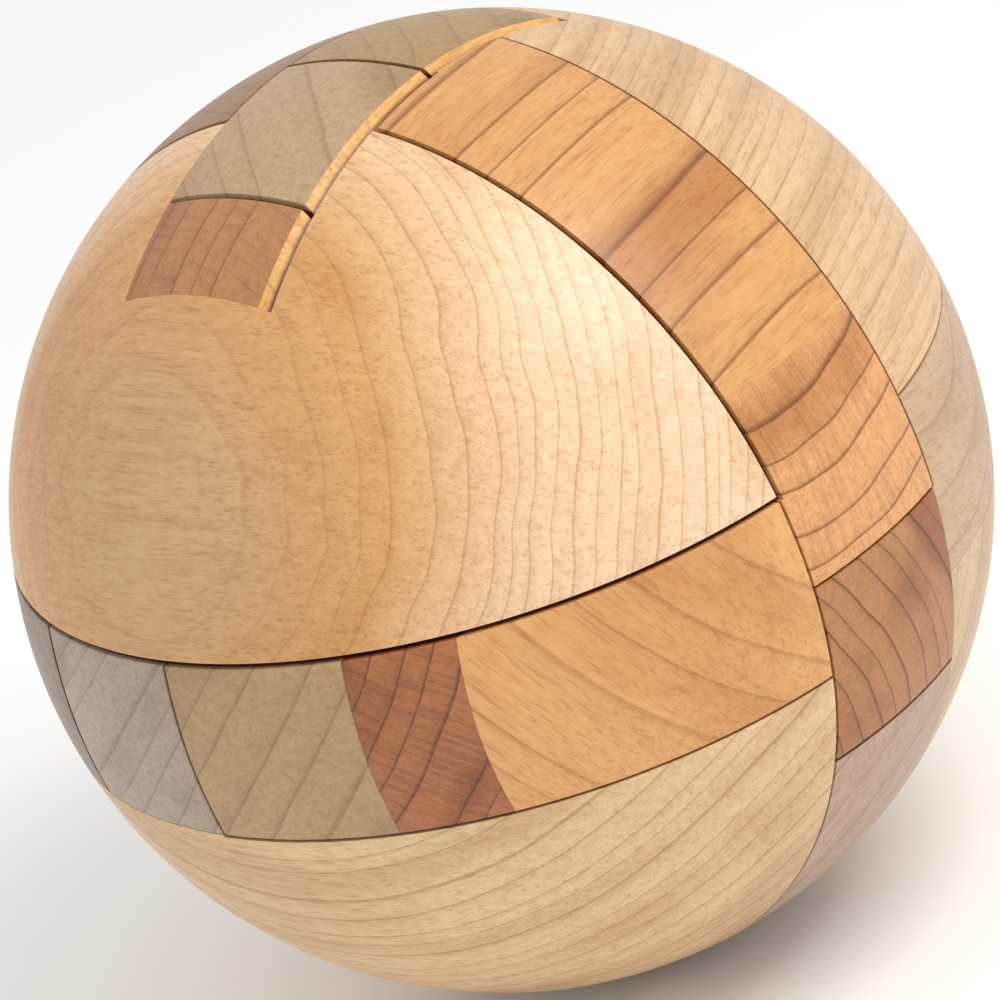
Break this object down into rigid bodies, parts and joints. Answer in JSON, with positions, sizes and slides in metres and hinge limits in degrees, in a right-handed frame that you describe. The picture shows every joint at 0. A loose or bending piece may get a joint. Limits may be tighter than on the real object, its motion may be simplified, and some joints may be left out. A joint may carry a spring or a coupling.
{
  "type": "ball-shaped wooden burr puzzle",
  "caption": "Interlocking wooden ball of notched sticks and glued-on caps; the key slides up and out, and the ball parts into two halves.",
  "frame": {"origin": "centre of the ball", "axes": "+Z is the way the key slides out; X and Y run along the cross and through sticks, +X right, -Y front"},
  "size_m": [0.07, 0.07, 0.07],
  "materials": {
    "wood_pale": "sanded smooth, clear oiled",
    "wood_cream": "sanded smooth, clear oiled",
    "wood_honey": "sanded smooth, clear oiled",
    "wood_tan": "sanded smooth, clear oiled",
    "wood_red_brown": "sanded smooth, clear oiled",
    "wood_pink_brown": "sanded smooth, clear oiled"
  },
  "bodies": {
    "lower_half": {"left_through_stick": "wood_tan", "front_bottom_cap": "wood_cream", "front_left_block": "wood_pink_brown", "bottom_left_block": "wood_honey", "lower_cross_left": "wood_pink_brown", "lower_cross_right": "wood_red_brown", "back_bottom_cap": "wood_cream", "bottom_right_block": "wood_pink_brown", "back_right_block": "wood_tan"},
    "upper_half": {"right_through_stick": "wood_tan", "front_right_filler": "wood_red_brown", "front_right_block": "wood_honey", "upper_cross_stick": "wood_honey", "top_left_block": "wood_pink_brown", "top_right_block": "wood_honey", "upright_stick": "wood_honey", "back_top_cap": "wood_pale", "back_left_block": "wood_tan"},
    "key": {"key_stick": "wood_tan", "key_cap": "wood_pale", "key_filler": "wood_red_brown"}
  },
  "joints": [
    {"name": "upper_half_slide", "type": "slide", "parent": "lower_half", "child": "upper_half", "axis": [0, 0, 1], "range_m": [0, 0.045]},
    {"name": "key_slide", "type": "slide", "parent": "upper_half", "child": "key", "axis": [0, 0, 1], "range_m": [0, 0.072]}
  ]
}
